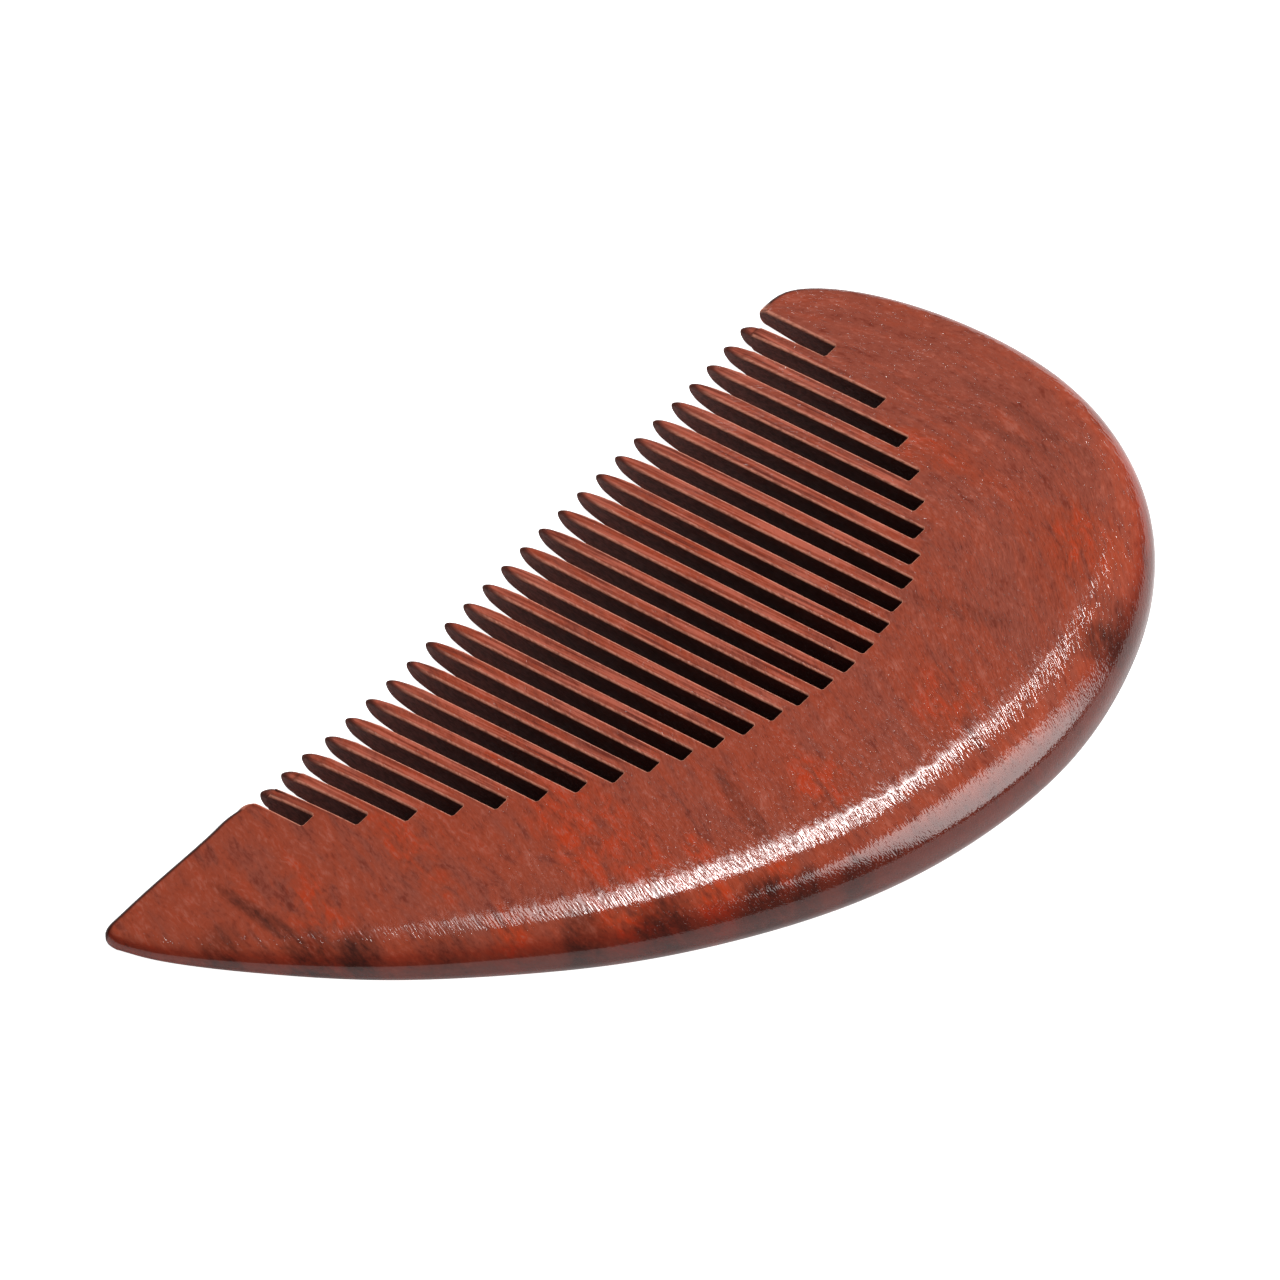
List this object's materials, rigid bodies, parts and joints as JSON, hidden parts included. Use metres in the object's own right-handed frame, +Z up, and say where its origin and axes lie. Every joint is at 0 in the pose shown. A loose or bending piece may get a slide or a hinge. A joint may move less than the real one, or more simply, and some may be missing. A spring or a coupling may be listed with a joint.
{
  "type": "wooden beard comb",
  "caption": "Half-moon pocket beard comb sawn from one wedge-shaped board of red sandalwood, with a thick rounded back and slim pointed teeth.",
  "frame": {"origin": "centre of the bounding box in X and Y, on the flat lower face that the comb rests on", "axes": "+X along the row of teeth towards the round end, +Y from the back towards the tooth tips, +Z up out of the resting face"},
  "size_m": [0.1101, 0.059, 0.0095],
  "materials": {
    "red_sandalwood": "satin, waxed and hand polished"
  },
  "bodies": {
    "root": {"comb": "red_sandalwood"}
  },
  "joints": []
}
